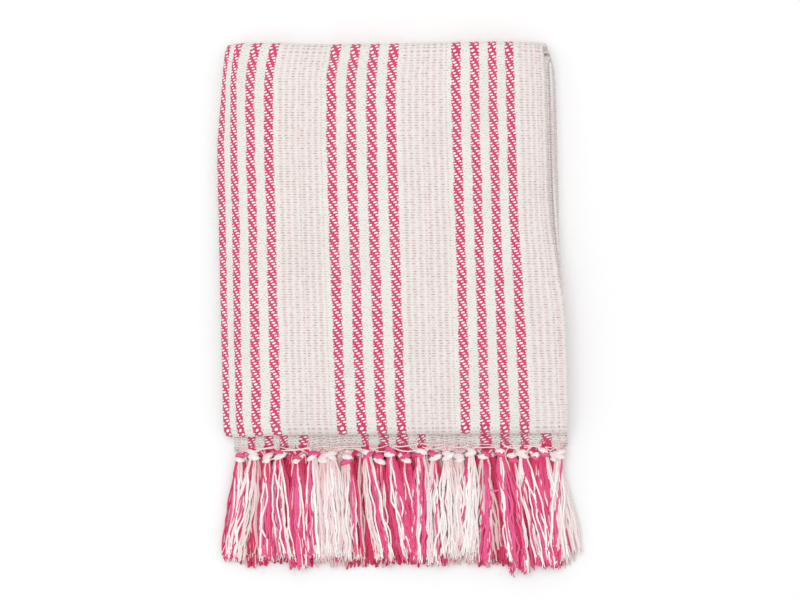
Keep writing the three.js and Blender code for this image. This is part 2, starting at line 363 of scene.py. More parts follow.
def pattern_u(u, v):
    """The place across the woven pattern that shows at a flat point."""
    u, v = np.broadcast_arrays(np.asarray(u, float), np.asarray(v, float))
    rows = np.array([np.interp(u, DRIFT_U, row["drift"]) for row in DRIFT_ROWS])
    place = np.interp(v, [row["v"] for row in DRIFT_ROWS], np.arange(len(rows)))
    before = np.minimum(place.astype(int), len(rows) - 2)
    share = place - before
    low = np.take_along_axis(rows, before[None], 0)[0]
    high = np.take_along_axis(rows, before[None] + 1, 0)[0]
    return u - low - (high - low) * share


# The tassels that show: each one's place across the stack, how far its tip leans, how far its
# knot and its tip are from the woven end, and its half width, as in the photograph
Tassel = namedtuple("Tassel", "x lean knot length half")
TOP_ROW = [
    Tassel(-140, -25, 6, 104, 10.0),
    Tassel(-112, 5, 7, 108, 9.5),
    Tassel(-78, 0, 8, 107, 9.5),
    Tassel(-60, 3, 8, 105, 10.0),
    Tassel(-25, 13, 7, 107, 9.0),
    Tassel(-3, 14, 6, 103, 9.5),
    Tassel(26, 0, 7, 108, 9.5),
    Tassel(52, 2, 9, 105, 10.0),
    Tassel(74, -4, 6, 104, 8.0),
    Tassel(103, 10, 7, 110, 9.5),
    Tassel(123, 19, 8, 114, 10.0),
    Tassel(142, 13, 7, 110, 8.5),
    Tassel(155, -3, 9, 98, 6.5),
]
SECOND_ROW = [
    Tassel(-157, -11, 8, 104, 9.5),
    Tassel(-124, -5, 10, 107, 9.0),
    Tassel(-94, 0, 12, 114, 10.0),
    Tassel(-68, 1, 11, 108, 9.0),
    Tassel(-44, 2, 12, 107, 9.5),
    Tassel(-14, 3, 12, 106, 9.0),
    Tassel(12, 3, 12, 110, 9.5),
    Tassel(39, 0, 10, 112, 9.0),
    Tassel(63, 0, 12, 107, 9.0),
    Tassel(87, -5, 9, 112, 9.5),
    Tassel(113, 9, 12, 122, 10.0),
    Tassel(135, 12, 11, 116, 9.5),
    Tassel(152, 2, 12, 108, 8.0),
]

# How far the last picks are drawn towards the knots, and how near the woven end
PULLED_SIDEWAYS = 2.4
PULLED_BACK = 2.2
PULL_REACH = 8


def pulled_to_knots(u, v):
    """Where the last picks of the top woven end go, drawn towards the knots beyond them."""
    face = FACE_SPAN
    x = face["begin"] + face["way"] * (u - face["start"])
    knots = np.array([tassel.x for tassel in TOP_ROW], float)
    place = np.interp(x, knots, np.arange(len(knots)))
    past = (place % 1) * (x > knots[0]) * (x < knots[-1])
    on_face = (u > face["start"]) & (u < face["start"] + face["length"])
    near_end = smoothstep(v, PANEL_LENGTH - PULL_REACH, PANEL_LENGTH + PULL_REACH) * on_face
    sideways = -PULLED_SIDEWAYS * np.sin(2 * np.pi * past) * face["way"]
    return u + sideways * near_end, v - PULLED_BACK * np.sin(np.pi * past) ** 2 * near_end


def sheet_faces(columns, rows):
    """The faces of a sheet of points, its upper side, its under side and its four edges."""
    apart = columns * rows
    upper = np.arange(apart).reshape(columns, rows)
    corners = [upper[:-1, :-1], upper[:-1, 1:], upper[1:, 1:], upper[1:, :-1]]
    upper_faces = np.stack(corners, -1).reshape(-1, 4)
    under_faces = np.stack(corners[:1] + corners[:0:-1], -1).reshape(-1, 4) + apart
    edge = np.concatenate([upper[:, 0], upper[-1, 1:], upper[-2::-1, -1], upper[0, -2:0:-1]])
    follows = np.roll(edge, -1)
    edge_faces = np.stack([edge, follows, follows + apart, edge + apart], -1)
    return np.concatenate([upper_faces, under_faces, edge_faces])


def cloth_mesh():
    """The whole woven cloth, both faces and its four edges, folded and settled."""
    us = stations(ACROSS, CLOTH_WIDTH, "face")
    vs = stations(ALONG, PANEL_LENGTH, "top", margin=END_STRIP + LOOSE_END)
    u, v = np.meshgrid(us, vs, indexing="ij")
    pulled = pulled_to_knots(u, v)
    half = CLOTH_THICK / 2
    sides = [drape(*fold_cloth(*pulled, np.full(u.shape, h))) for h in (half, -half)]
    points = np.concatenate([to_frame(*side).reshape(-1, 3) for side in sides])
    mesh = bpy.data.meshes.new("cloth")
    mesh.from_pydata(points.tolist(), [], sheet_faces(*u.shape).tolist())

    pattern = np.stack([pattern_u(u, v) * MM, v * MM], -1).reshape(-1, 2)
    pattern = np.concatenate([pattern, pattern])
    layer = mesh.uv_layers.new(name="Weave")
    corners = np.zeros(len(mesh.loops), np.int32)
    mesh.loops.foreach_get("vertex_index", corners)
    layer.data.foreach_set("uv", pattern[corners].astype(np.float32).ravel())
    mesh.shade_smooth()
    mesh.validate()
    return mesh


class Signal:
    """A number at one socket of a node tree. Sums on it add Math nodes to that tree."""

    def __init__(self, tree, socket):
        self.tree = tree
        self.socket = socket

    def math(self, operation, *others):
        node = self.tree.nodes.new("ShaderNodeMath")
        node.operation = operation
        for i, value in enumerate([self, *others]):
            if isinstance(value, Signal):
                self.tree.links.new(value.socket, node.inputs[i])
            else:
                node.inputs[i].default_value = value
        return Signal(self.tree, node.outputs[0])

    def __add__(self, other):
        return self.math("ADD", other)

    def __sub__(self, other):
        return self.math("SUBTRACT", other)

    def __mul__(self, other):
        return self.math("MULTIPLY", other)

    def __truediv__(self, other):
        return self.math("DIVIDE", other)

    def inverted(self):
        """1 where this is 0, and 0 where it is 1."""
        return (self * -1) + 1

    def floor(self):
        return self.math("FLOOR")

    def size(self):
        return self.math("ABSOLUTE")

    def cosine(self):
        return self.math("COSINE")

    def least(self, other):
        return self.math("MINIMUM", other)

    def most(self, other):
        return self.math("MAXIMUM", other)

    def around(self, period):
        """The distance to the nearest multiple of a period, with its sign."""
        return self - (self / period + 0.5).floor() * period

    def cycle(self, period):
        """What is left over after whole periods."""
        return self - (self / period).floor() * period

    def between(self, low, high):
        """0 at low and beyond it, 1 at high and beyond, and smooth between."""
        node = self.tree.nodes.new("ShaderNodeMapRange")
        node.interpolation_type = "SMOOTHSTEP"
        self.tree.links.new(self.socket, node.inputs["Value"])
        node.inputs["From Min"].default_value = low
        node.inputs["From Max"].default_value = high
        return Signal(self.tree, node.outputs["Result"])

    def mix(self, low, high):
        """One of two values, or a blend of them, as this number goes from 0 to 1."""
        return (high - low) * self + low


def oval(across, along, half_across, half_along):
    """0 in the middle of an oval, 1 at its edge, and more beyond it."""
    x = across / half_across
    y = along / half_along
    return (x * x + y * y).math("SQRT")


def stripes_of(signal, pitch):
    """A wave along a signal, 1 at each multiple of a pitch and -1 midway between them."""
    return (signal * (2 * math.pi / pitch)).cosine()


def linear(red, green, blue):
    """A colour as the eye reads it, 0 to 255, as the light that a shader needs."""
    shares = (channel / 255 for channel in (red, green, blue))
    return (*(c / 12.92 if c <= 0.04045 else ((c + 0.055) / 1.055) ** 2.4 for c in shares), 1)


def blend_colours(amount, low, high):
    """A Mix node between two colours, each a constant or a socket."""
    tree = amount.tree
    node = tree.nodes.new("ShaderNodeMix")
    node.data_type = "RGBA"
    tree.links.new(amount.socket, node.inputs["Factor"])
    for name, colour in (("A", low), ("B", high)):
        socket = next(i for i in node.inputs if i.name == name and i.type == "RGBA")
        if isinstance(colour, tuple):
            socket.default_value = colour
        else:
            tree.links.new(colour, socket)
    return next(o for o in node.outputs if o.type == "RGBA")


def noise(tree, vector, scale, detail=2.0, roughness=0.5):
    """Noise from 0 to 1 at a vector socket."""
    node = tree.nodes.new("ShaderNodeTexNoise")
    tree.links.new(vector, node.inputs["Vector"])
    node.inputs["Scale"].default_value = scale
    node.inputs["Detail"].default_value = detail
    node.inputs["Roughness"].default_value = roughness
    return Signal(tree, node.outputs["Fac"])


def random_of(tree, *numbers):
    """A fixed random number, 0 to 1, for each set of whole numbers."""
    join = tree.nodes.new("ShaderNodeCombineXYZ")
    for i, number in enumerate(numbers):
        tree.links.new(number.socket, join.inputs[i])
    node = tree.nodes.new("ShaderNodeTexWhiteNoise")
    node.noise_dimensions = "3D"
    tree.links.new(join.outputs[0], node.inputs["Vector"])
    return Signal(tree, node.outputs["Value"])


def cotton_material(name):
    """A new material with the dull sheen of cotton, and its shader node."""
    material = bpy.data.materials.new(name)
    material.use_nodes = True
    tree = material.node_tree
    shader = tree.nodes["Principled BSDF"]
    shader.inputs["Roughness"].default_value = 0.95
    shader.inputs["Specular IOR Level"].default_value = 0.15
    shader.inputs["Sheen Weight"].default_value = 0.1
    shader.inputs["Sheen Roughness"].default_value = 0.5
    return material, tree, shader


def add_bump(tree, shader, height, distance, strength):
    bump = tree.nodes.new("ShaderNodeBump")
    tree.links.new(height.socket, bump.inputs["Height"])
    bump.inputs["Distance"].default_value = distance
    bump.inputs["Strength"].default_value = strength
    tree.links.new(bump.outputs[0], shader.inputs["Normal"])


# The weave, in millimetres of flat cloth
PICK = 2.447
END_PITCH = 1.7
TWILL_PICKS = 4
STRIPE_PITCH = 18.9
STRIPES = 4
STRIPE_HALF = 4.5
RAGGED_EDGE = 1.1
GROUP_PERIOD = 119.6
GROUP_CENTRE = 468.1
GROUP_HALF = STRIPES / 2 * STRIPE_PITCH
COLUMN_PITCH = 6.45
COLUMN_WANDER = 1.3
COLUMN_ENDS = 2.9
COLUMN_FULL = 1.4
PLAIN_BEYOND = 592
SOFT_EDGE = 0.1

# Half sizes of the weave's small ovals, across the cloth and along it
TWILL_LENS = (2.1, 0.92)
DASH = (1.9, 0.5)
SPECK = (1.1, 0.45)

# The slow drift and the fine flutter of the weave: noise scale, and how far it moves the threads
THREAD_DRIFT = {"scale": 28.0, "across": 2.2}
THREAD_FLUTTER = {"scale": 240.0, "across": 0.9, "along": 0.8}

# How far before the woven end painted shade in the weave's gaps and specks starts and is full
END_SHADE_FROM = 26
END_SHADE_FULL = 8

YARN_PINK = linear(238, 98, 154)
# Painted shade: the deep crimson that pink yarn goes to in shade, and with its own random tone
YARN_PINK_DEEP = linear(202, 22, 74)
YARN_WHITE = linear(246, 246, 242)
# Painted shade of the white yarn
YARN_WHITE_SHADED = linear(216, 160, 162)
LENS_WHITE = linear(241, 240, 235)
CLOTH_PINK = linear(222, 64, 118)
# Painted shade at the lens rims and between the pink ends, and each yarn's random tone
CLOTH_PINK_DEEP = linear(156, 22, 68)
CLOTH_CREAM = linear(225, 223, 217)
# Painted shade of the specks and gaps in the weave, and the tone of random darker fibres
CLOTH_SHADE = linear(166, 154, 150)
CLOTH_BLUSH = linear(224, 203, 204)
# Painted shade under the picks in the blush columns
CLOTH_DASH = linear(160, 138, 136)
# Painted shade in the gaps near the woven end
CLOTH_GAP = linear(120, 76, 78)


# Where a point is in the weave, how much in a group of stripes, and painted shade near an end
WeavePlace = namedtuple(
    "WeavePlace", "tree across row phase in_pick from_group stripe in_stripe in_group slack"
)


def place_in_weave(tree, flat):
    """The weave's place at a flat point. in_pick and in_stripe are distances from a middle."""
    split = tree.nodes.new("ShaderNodeSeparateXYZ")
    tree.links.new(flat, split.inputs[0])
    drift = noise(tree, flat, THREAD_DRIFT["scale"]) - 0.5
    flutter = noise(tree, flat, THREAD_FLUTTER["scale"]) - 0.5
    across = Signal(tree, split.outputs[0]) * MM_IN_METRE + drift * THREAD_DRIFT["across"]
    across = across + flutter * THREAD_FLUTTER["across"]
    along = Signal(tree, split.outputs[1]) * MM_IN_METRE + flutter * THREAD_FLUTTER["along"]

    pick = along / PICK
    row = pick.floor()
    from_group = (across - GROUP_CENTRE).around(GROUP_PERIOD)
    stripe = from_group / STRIPE_PITCH + STRIPES / 2
    in_group = from_group.size().between(GROUP_HALF + SOFT_EDGE, GROUP_HALF - SOFT_EDGE)
    from_middle = (across - CLOTH_WIDTH / 2).size()
    striped = from_middle.between(PLAIN_BEYOND + SOFT_EDGE, PLAIN_BEYOND - SOFT_EDGE)
    return WeavePlace(
        tree=tree,
        across=across,
        row=row,
        phase=row.cycle(TWILL_PICKS),
        in_pick=(pick - row - 0.5) * PICK,
        from_group=from_group,
        stripe=stripe.floor(),
        in_stripe=(stripe - stripe.floor() - 0.5) * STRIPE_PITCH,
        in_group=in_group * striped,
        slack=along.between(PANEL_LENGTH - END_SHADE_FROM, PANEL_LENGTH - END_SHADE_FULL) * 0.5,
    )


def pink_twill(at):
    """A stripe of five warp ends: where it is pink, its colour and its height.

    Each end goes over three picks and under one, where the white weft shows as a small lens,
    one end further right on each pick.
    """
    side = at.in_stripe.between(-SOFT_EDGE, SOFT_EDGE)
    ragged = (random_of(at.tree, at.row, at.stripe, side) - 0.5) * RAGGED_EDGE
    edge = stripes_of(at.in_pick, PICK) * -0.5 + ragged + STRIPE_HALF
    pink = (edge - at.in_stripe.size()).between(-0.15, 0.2) * at.in_group

    from_lens = (at.in_stripe - (at.phase - 1) * END_PITCH).around(TWILL_PICKS * END_PITCH)
    lens = oval(from_lens, at.in_pick + from_lens * 0.2, *TWILL_LENS)
    lens = lens + random_of(at.tree, at.row, at.stripe) * 0.22
    white = lens.between(1.1, 0.82)
    rim = lens.between(1.6, 1.1) * lens.between(0.9, 1.12)
    across_end = stripes_of(at.in_stripe, END_PITCH)
    yarn = random_of(at.tree, at.row, (at.in_stripe / END_PITCH + 0.5).floor(), at.stripe)
    # Painted shade at the lens rims and in the grooves between the ends, and random tone of each
    # yarn
    darkening = (rim * 0.85).most(across_end.between(-0.2, -1.0) * 0.4).most(yarn * 0.3)
    pink_yarn = blend_colours(darkening, CLOTH_PINK, CLOTH_PINK_DEEP)
    colour = blend_colours(white, pink_yarn, LENS_WHITE)
    height = (across_end * 0.3 + 0.6) * white.inverted() + white * 0.9 - rim * 0.5
    return pink, colour, height


def blush_columns(at):
    """The weft's blush columns between the groups, and the shadows under its picks."""
    column = (at.from_group + GROUP_PERIOD / 2) / COLUMN_PITCH
    wander = (random_of(at.tree, at.row, column.floor(), at.phase) - 0.5) * COLUMN_WANDER
    in_column = (column - column.floor() - 0.5) * COLUMN_PITCH + wander
    blush = in_column.size().between(COLUMN_ENDS, COLUMN_FULL) * 0.6
    dash = oval(in_column, at.in_pick, *DASH).between(1.3, 0.5)
    dash = dash * random_of(at.tree, at.row, column.floor()).between(-0.3, 1.1)
    colour = blend_colours(blush, CLOTH_CREAM, CLOTH_BLUSH)
    return blend_colours(dash * 0.8, colour, CLOTH_DASH), dash


def fine_speckle(at):
    """How much painted shade, as a dark speck between two cream warp ends, there is at a place."""
    warp_end = at.across / (2 * END_PITCH) + at.row * 0.5
    in_end = (warp_end - warp_end.floor() - 0.5) * (2 * END_PITCH)
    speck = oval(in_end, at.in_pick, *SPECK).between(1.4, 0.5)
    return speck * random_of(at.tree, at.row, warp_end.floor(), at.stripe)


def weave_material():
    """The striped weave: pink twill stripes, cream between them, and blush columns beyond."""
    material, tree, shader = cotton_material("woven cotton")
    flat = tree.nodes.new("ShaderNodeUVMap")
    flat.uv_map = "Weave"
    flat = flat.outputs[0]
    at = place_in_weave(tree, flat)
    pink, stripe, stripe_height = pink_twill(at)
    columns, dash = blush_columns(at)
    speck = fine_speckle(at)

    # Painted shade: the gaps darken and the specks grow towards the woven end
    gap = blend_colours(at.slack, CLOTH_SHADE, CLOTH_GAP)
    cream = blend_colours((speck * (at.slack + 0.75)).least(1.0), CLOTH_CREAM, gap)
    columns = blend_colours((speck * (at.slack * 1.4 + 0.5)).least(1.0), columns, gap)
    ground = blend_colours(at.in_group, columns, cream)
    colour = blend_colours(pink, ground, stripe)
    fibre = noise(tree, flat, 900.0, detail=3.0)
    cloudy = noise(tree, flat, 16.0)
    # Random darker fibres and clouds, and painted shade towards the woven end
    shade = fibre.between(0.35, 0.7) * 0.12 + cloudy.between(0.4, 0.75) * 0.08 + at.slack * 0.08
    colour = blend_colours(shade, colour, CLOTH_SHADE)
    tree.links.new(colour, shader.inputs["Base Color"])

    hollows = (dash * at.in_group.inverted()).most(speck * at.in_group)
    ridges = stripes_of(at.in_pick, PICK) * 0.5 + 0.5
    height = pink.mix(ridges * 0.7 - hollows * 0.8, stripe_height) + fibre * 0.25
    add_bump(tree, shader, height, 0.5 * MM, 0.55)
    return material


# The fringe, in millimetres. Past each woven end the warp yarns are gathered into knots, and
# go on as tassels. A row of tassels belongs to one level of a folded end.
UPPER_END = {"v": PANEL_LENGTH + END_STRIP + LOOSE_END, "outwards": 1, "upwards": 1}
LOWER_END = {"v": -END_STRIP - LOOSE_END, "outwards": -1, "upwards": -1}
WARP_EDGES = (-157.5, 159.5)
YARN_RADIUS = 0.98

# The rows that hardly show are evenly spaced, and a little uneven at random
TASSELS = 13
TASSEL_PITCH = 24.4
FIRST_TASSEL = -151.4
PLAIN_LEAN = 9
PLAIN_LIMITS = (-153, 150)
PLAIN_KNOT = 7
PLAIN_LENGTH = (103, 116)
PLAIN_HALF = 10

# Each row of tassels: its end of the cloth and level there, its tassels or None for plain ones,
# how many yarns are in each, and whether it shows from above
FringeRow = namedtuple("FringeRow", "end level tassels yarns shows")
FRINGE_ROWS = {
    "upper_tassels_4": FringeRow(UPPER_END, 3, TOP_ROW, 25, True),
    "upper_tassels_3": FringeRow(UPPER_END, 2, SECOND_ROW, 25, True),
    "upper_tassels_2": FringeRow(UPPER_END, 1, None, 18, False),
    "upper_tassels_1": FringeRow(UPPER_END, 0, None, 18, False),
    "lower_tassels_4": FringeRow(LOWER_END, 0, None, 16, False),
    "lower_tassels_3": FringeRow(LOWER_END, 1, None, 16, False),
    "lower_tassels_2": FringeRow(LOWER_END, 2, None, 16, False),
    "lower_tassels_1": FringeRow(LOWER_END, 3, None, 16, False),
}
FIRST_SEED = 11

# Past the knot a tassel's yarns fan out, to these shares of its half width
SPREAD_AT = [0, 4, 8, 16, 32, 52, 108]
SPREAD = [0.34, 0.35, 0.46, 0.6, 0.8, 0.92, 1.0]

# Where a yarn's points are: on the cloth, in the knot and its neck, and then as shares of the rest
CLOTH_MARKS = [-4, -1.5]
KNOT_MARKS = 5
NECK = 4
TASSEL_MARKS = np.array([6, 15, 27, 41, 55, 69, 83, 96]) / 96

# The yarns trade places and cling into locks as they go, and these are how far past the woven
# end that begins and is full. A few stray all over the tassel.
MIXED = (14, 60)
LOCKED = (22, 70)
LOCK_PULL = 0.42
STRAY_SHARE = 0.12
STRAY_PILE = 1.3
TURNED_SHARE = 0.4
LEAN_CURVE = 1.2
PILE_HEIGHT = 2.6
KNOT_HEIGHT = 1.9
LENGTH_SHARES = (0.95, 1.02)
MIXING = (0.1, 0.35)

# How thick a yarn is at the woven end, in the knot, past it, near its tip and at it, and how
# loose it is in the knot, past it and at its tip
THICK_SHARES = [0.64, 0.8, 1.0, 0.95, 0.7]
LOOSE_SHARES = [0.0, 0.7, 1.2]

# The short strands that a yarn that shows ends in, and how they part from it
FRAYED_TIPS = 3
FRAYED = np.array([0, 0.6, 1.6])

# The tassels at the left are the most mixed, and those near both sides hang the straightest
LEFTMOST = -130
LEFT_MIXING = 0.5
CALM_BEYOND = 140
CALM = 0.6

# Warp that isn't pink is cream or, now and then, a little blush. The rows below the top one
# show more pink, and the yarns of the hidden ones are fuller, as there are fewer of them.
PALE_DYES = [0.02, 0.03, 0.08, 0.22]
HIDDEN_PINK = 0.7
SECOND_ROW_SHARE = 0.7
HIDDEN_FULLER = 1.35

# A knot is two bands of yarn: half its width, its height, and how far apart bands and turns are
KNOT_BAND = {"half": 6.2, "height": 3.6, "apart": 4.5, "step": 1.8}
KNOT_DYES = [[1.0, 0.0], [0.0, 1.0], [0.1, 0.02]]
PALE_KNOT_DYES = [0.15, 0.03]
PALE_KNOT_BELOW = 0.25
BAND_POINTS = 14

# The last white picks, slipped down towards the knots
LOOSE_PICKS = 2
LOOSE_PICK_STEP = 2

# A pink yarn that has caught round one tassel that shows
CAUGHT_YARN = {"x": 93, "at": 43, "half": 5.4, "height": 6.4, "points": 12}


def plain_row(level, rng):
    """A row that hardly shows: its tassels are evenly spaced, and lean a little at random."""
    first = FIRST_TASSEL + TASSEL_PITCH / 2 * (level % 2)
    places = first + TASSEL_PITCH * np.arange(TASSELS) + rng.uniform(-3, 3, TASSELS)
    leans = places / HALF_WIDTH * PLAIN_LEAN + rng.uniform(-7, 7, TASSELS)
    places = np.clip(places, *PLAIN_LIMITS)
    return [
        Tassel(x, lean, PLAIN_KNOT, rng.uniform(*PLAIN_LENGTH), PLAIN_HALF)
        for x, lean in zip(places, leans)
    ]


def dye_at(end, x, pinker, rng):
    """How pink the warp is at a place across a folded end: 1 in a stripe, 0 between two.

    Beyond the groups of stripes it is pale. In a group, the share pinker is pink anywhere.
    """
    u = pattern_u(FACE_SPAN["start"] + FACE_SPAN["way"] * (x - FACE_SPAN["begin"]), end["v"])
    from_group = (u - GROUP_CENTRE + GROUP_PERIOD / 2) % GROUP_PERIOD - GROUP_PERIOD / 2
    if abs(from_group) > GROUP_HALF:
        return rng.choice(PALE_DYES)
    if pinker and rng.random() < pinker:
        return 1.0
    in_stripe = (from_group / STRIPE_PITCH) % 1 - 0.5
    return 1.0 if abs(in_stripe) * STRIPE_PITCH < STRIPE_HALF + 0.4 else 0.0


class YarnPaths:
    """Paths for a row's yarns, as points with attributes that the yarn tree reads."""

    def __init__(self, end, level):
        self.end = end
        self.level = level
        self.points = []
        self.edges = []
        self.values = {"dye": [], "thick": [], "loose": [], "darkening": [], "number": []}
        self.count = 0

    def add(self, x, at, height, dye, thick, loose, darkening, ring=False):
        """A yarn at x across, at past the woven end, and height over its layer's middle.

        It is thick times a yarn's usual radius, and wobbles by its loose share. dye is how pink
        it is, and the last value how far painted shade darkens its colour.
        """
        end = self.end
        layer = self.level * LAYER_PITCH + end["upwards"] * height
        x, y, z = drape(*fold_slab(x, end["v"] + end["outwards"] * at, layer))
        z = np.maximum(z, 2 * YARN_RADIUS)
        first = len(self.points)
        self.points.extend(to_frame(x, y, z).tolist())
        last = len(self.points) - 1
        self.edges.extend((i, i + 1) for i in range(first, last))
        if ring:
            self.edges.append((last, first))
        self.count += 1
        values = {"dye": dye, "thick": thick, "loose": loose, "darkening": darkening, "number": self.count}
        for name, value in values.items():
            self.values[name].extend(np.broadcast_to(value, len(at)).tolist())

    def mesh(self):
        mesh = bpy.data.meshes.new("yarn paths")
        mesh.from_pydata(self.points, self.edges, [])
        for name, values in self.values.items():
            mesh.attributes.new(name, "FLOAT", "POINT").data.foreach_set("value", values)
        return mesh


def yarn_marks(knot, length):
    """Where a yarn's points are past the woven end: close in the knot, then further apart."""
    neck = knot + NECK
    in_knot = np.linspace(0.5, neck, KNOT_MARKS)
    return np.concatenate([CLOTH_MARKS, in_knot, neck + TASSEL_MARKS * (length - neck)])


def beside_knot(at, tassel, source, q, q_end, lock):
    """How far beside its knot's middle a yarn is, from its source in the cloth to its tip.

    q is its place across the tassel, from -1 to 1, which becomes q_end and nears its lock's.
    """
    q_along = q + (q_end - q) * smoothstep(at, *MIXED)
    q_along = q_along + (lock - q_along) * LOCK_PULL * smoothstep(at, *LOCKED)
    fanned = q_along * np.interp(at - tassel.knot, SPREAD_AT, SPREAD) * tassel.half
    gathered = smoothstep(at, -0.5, tassel.knot)
    side = (source - tassel.x) * (1 - gathered) + fanned * gathered
    splayed = FRINGE_SPLAY * tassel.x / HALF_WIDTH
    past_knot = np.clip((at - tassel.knot) / (at[-1] - tassel.knot), 0, 1)
    return side + (tassel.lean - splayed) * past_knot**LEAN_CURVE


def add_tassel(paths, tassel, edges, row, pinker, rng):
    """The yarns of one tassel, from the woven end through the knot to the frayed tips.

    edges are the sides of the stretch of warp that it gathers.
    """
    x, knot = tassel.x, tassel.knot
    locks = rng.integers(3, 5)
    turned = -1 if x < LEFTMOST or rng.random() < TURNED_SHARE else 1
    mixing = LEFT_MIXING if x < LEFTMOST else rng.uniform(*MIXING)
    calm = CALM if abs(x) > CALM_BEYOND else 1.0
    dyes = []
    for i in range(row.yarns):
        q = (i + 0.5) / row.yarns * 2 - 1
        length = tassel.length * rng.uniform(*LENGTH_SHARES)
        at = yarn_marks(knot, length)
        source = edges[0] + (edges[1] - edges[0]) * (q * turned + 1) / 2
        dye = dye_at(row.end, source, pinker, rng)
        dyes.append(dye)
        lock = (np.floor((q + 1) / 2 * locks) + 0.5) / locks * 2 - 1
        stray = rng.random() < STRAY_SHARE
        q_end = rng.uniform(-1, 1) if stray else q + rng.normal(0, mixing)
        beside = beside_knot(at, tassel, source, q, q_end, lock)
        pile = STRAY_PILE if stray else rng.uniform(-0.5, 1)
        in_knot = math.sin(i * 2.4) * KNOT_HEIGHT
        heights = [in_knot * 0.2, in_knot, in_knot, pile * PILE_HEIGHT]
        height = np.interp(at, [0, knot * 0.6, knot + NECK, knot + 18], heights)
        own = rng.uniform(0.84, 1.14) * (1 if row.shows else HIDDEN_FULLER)
        thick = own * np.interp(at, [0, 6, 24, length - 6, length], THICK_SHARES)
        looseness = rng.uniform(0.6, 1.7) * calm
        loose = looseness * np.interp(at, [knot + 3, knot + 22, length], LOOSE_SHARES)
        # Painted shade, darker the lower a yarn lies in its pile and full on hidden rows but at
        # their sides
        low_down = float(np.clip(0.75 - pile * 0.6 + rng.uniform(-0.25, 0.25), 0, 1))
        low_down = low_down if row.shows or abs(x) > CALM_BEYOND else 1.0
        # More painted shade near the knot, and more on the pinker rows
        near_knot = np.interp(at, [knot, knot + 30], [0.45 + pinker, 0])
        darkening = np.clip(low_down + near_knot, 0, 1)
        paths.add(x + beside, at, height, dye, thick, loose, darkening)
        # The frayed tips take the yarn's painted shade
        for _ in range(FRAYED_TIPS if row.shows else 0):
            tip = np.array([length - 9, length - 4, length + rng.uniform(-1, 4)])
            tip_beside = np.interp(tip, at, beside) + FRAYED * rng.uniform(-1, 1)
            tip_height = height[-1] + rng.uniform(-0.5, 0.7, 3)
            paths.add(x + tip_beside, tip, tip_height, dye, 0.45, 0.8, low_down)
    add_knot(paths, tassel, float(np.mean(dyes)), rng)


def add_knot(paths, tassel, dye_share, rng):
    """Two bands of yarn round a tassel's neck, each of three turns that meet at its sides."""
    turn = np.linspace(0, 2 * math.pi, BAND_POINTS, endpoint=False)
    band_dyes = KNOT_DYES[rng.integers(len(KNOT_DYES))]
    if dye_share < PALE_KNOT_BELOW:
        band_dyes = PALE_KNOT_DYES
    tilt = rng.uniform(-0.3, 0.3)
    crossed = rng.uniform(-0.35, 0.35)
    big = rng.uniform(0.88, 1.12)
    for band, dye in enumerate(band_dyes):
        from_middle = band - 0.5
        centre = tassel.knot + from_middle * KNOT_BAND["apart"] * big * (1 - abs(crossed))
        slope = tilt + from_middle * 2 * crossed
        aside = rng.uniform(-1.2, 1.2)
        width = KNOT_BAND["half"] * big * rng.uniform(0.8, 1.15)
        for k in (-1, 0, 1):
            side = (width * (1 - 0.12 * abs(k)) + rng.uniform(-0.3, 0.3)) * np.sin(turn) + aside
            at = centre + k * KNOT_BAND["step"] * np.abs(np.cos(turn)) + slope * side
            height = (KNOT_BAND["height"] * big - 0.5 * abs(k)) * np.cos(turn)
            thick = 0.7 + 0.55 * np.abs(np.cos(turn))
            shade = min(max(dye + rng.uniform(-0.08, 0.08), 0), 1)
            # Painted shade on the knot's turns, more on the outer ones
            darkening = 0.1 + 0.25 * abs(k)
            paths.add(tassel.x + side, at, height, shade, thick, 0.15, darkening, ring=True)


def add_loose_picks(paths, tassels, rng):
    """The last white picks, slipped down between the knots that hold the warp."""
    along = np.linspace(0, 1, 6)
    for left, right in zip(tassels, tassels[1:]):
        for pick in range(LOOSE_PICKS):
            across = left.x + 1.5 + (right.x - left.x - 3) * along
            first = rng.uniform(-3.5, 1.5) + pick * LOOSE_PICK_STEP
            last = rng.uniform(-3.5, 1.5) + pick * LOOSE_PICK_STEP
            first = np.minimum(first, left.knot - 2)
            last = np.minimum(last, right.knot - 2)
            sag = rng.uniform(-1.5, 3.5) * np.sin(math.pi * along)
            at = first * (1 - along) + last * along + sag
            thick = rng.uniform(0.45, 0.75)
            # The last value is painted shade on the slipped picks
            paths.add(across, at, 1.2 + rng.uniform(0, 0.8), 0.03, thick, 0.5, 0.4)


def add_caught_yarn(paths):
    """One pink yarn in a ring round the tassel that it has caught on."""
    turn = np.linspace(0, 2 * math.pi, CAUGHT_YARN["points"], endpoint=False)
    side = CAUGHT_YARN["half"] * np.sin(turn)
    at = CAUGHT_YARN["at"] + 0.8 * np.cos(2 * turn) + 0.1 * side
    height = CAUGHT_YARN["height"] * np.cos(turn)
    # The last value is painted shade
    paths.add(CAUGHT_YARN["x"] + side, at, height, 0.9, 0.85, 0.2, 0.1, ring=True)


def row_paths(row, seed):
    """The yarn paths of a row of tassels, its knots and, in the top row, what lies loose."""
    rng = np.random.default_rng(seed)
    tassels = row.tassels or plain_row(row.level, rng)
    paths = YarnPaths(row.end, row.level)
    places = np.array([tassel.x for tassel in tassels])
    middles = (places[1:] + places[:-1]) / 2
    edges = np.concatenate([WARP_EDGES[:1], middles, WARP_EDGES[1:]])
    on_top = tassels is TOP_ROW
    pinker = 0 if on_top else HIDDEN_PINK * (SECOND_ROW_SHARE if row.shows else 1)
    for i, tassel in enumerate(tassels):
        add_tassel(paths, tassel, edges[i : i + 2], row, pinker, rng)
    if on_top:
        add_loose_picks(paths, tassels, rng)
        add_caught_yarn(paths)
    return paths.mesh()


